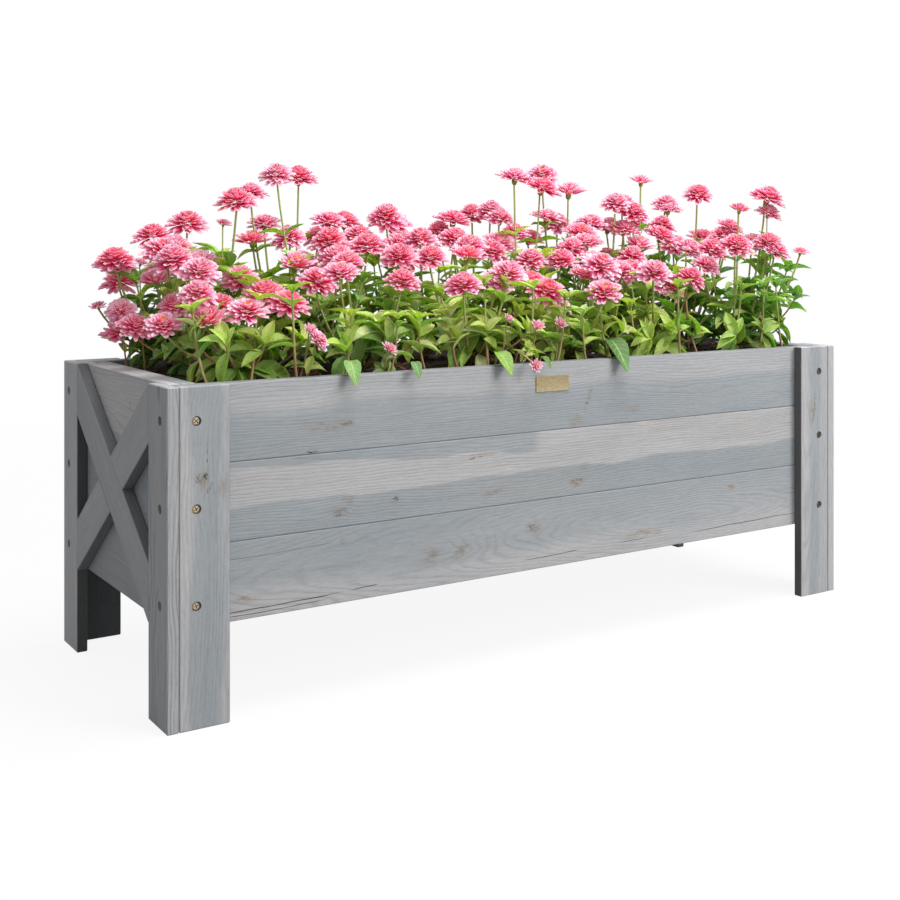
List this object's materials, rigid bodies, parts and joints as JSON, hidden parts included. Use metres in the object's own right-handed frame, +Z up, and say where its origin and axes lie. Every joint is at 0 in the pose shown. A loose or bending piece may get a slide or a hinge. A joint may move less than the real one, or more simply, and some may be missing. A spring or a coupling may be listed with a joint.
{
  "type": "planted raised bed",
  "caption": "Grey-stained timber raised bed on board legs with crossed end braces, slatted floor, liner and soil, planted with pink double zinnias",
  "frame": {"origin": "on the ground under the middle of the box", "axes": "+X along the box to the right as seen from the front, +Y to the back, +Z up"},
  "size_m": [1.225, 0.448, 0.7546],
  "materials": {
    "stained_wood": "grey water-based stain over softwood, grain showing, matte",
    "liner_felt": "black non-woven felt",
    "potting_soil": "dark moist potting soil with bark chips",
    "zinnia": "pink petals, green leaves and stems, satin",
    "brass": "brushed, lacquered"
  },
  "bodies": {
    "root": {"leg_front_left_face_board": "stained_wood", "leg_front_left_side_board": "stained_wood", "leg_front_right_face_board": "stained_wood", "leg_front_right_side_board": "stained_wood", "leg_back_left_face_board": "stained_wood", "leg_back_left_side_board": "stained_wood", "leg_back_right_face_board": "stained_wood", "leg_back_right_side_board": "stained_wood", "front_plank_bottom": "stained_wood", "front_plank_middle": "stained_wood", "front_plank_top": "stained_wood", "back_plank_bottom": "stained_wood", "back_plank_middle": "stained_wood", "back_plank_top": "stained_wood", "left_end_plank_bottom": "stained_wood", "left_end_plank_middle": "stained_wood", "left_end_plank_top": "stained_wood", "right_end_plank_bottom": "stained_wood", "right_end_plank_middle": "stained_wood", "right_end_plank_top": "stained_wood", "left_brace_rising_back": "stained_wood", "left_brace_rising_front": "stained_wood", "right_brace_rising_back": "stained_wood", "right_brace_rising_front": "stained_wood", "corner_post_front_left": "stained_wood", "corner_post_front_right": "stained_wood", "corner_post_back_left": "stained_wood", "corner_post_back_right": "stained_wood", "left_top_rail": "stained_wood", "right_top_rail": "stained_wood", "front_ledger": "stained_wood", "back_ledger": "stained_wood", "floor_slat_1": "stained_wood", "floor_slat_2": "stained_wood", "floor_slat_3": "stained_wood", "floor_slat_4": "stained_wood", "floor_slat_5": "stained_wood", "floor_slat_6": "stained_wood", "bare_plate": "brass", "bed_liner": "liner_felt", "soil": "potting_soil", "zinnia_01": "zinnia", "zinnia_02": "zinnia", "zinnia_03": "zinnia", "zinnia_04": "zinnia", "zinnia_05": "zinnia", "zinnia_06": "zinnia", "zinnia_07": "zinnia", "zinnia_08": "zinnia", "zinnia_09": "zinnia", "zinnia_10": "zinnia", "zinnia_11": "zinnia", "zinnia_12": "zinnia", "zinnia_13": "zinnia", "zinnia_14": "zinnia", "zinnia_15": "zinnia", "zinnia_16": "zinnia", "zinnia_17": "zinnia", "zinnia_18": "zinnia"}
  },
  "joints": []
}
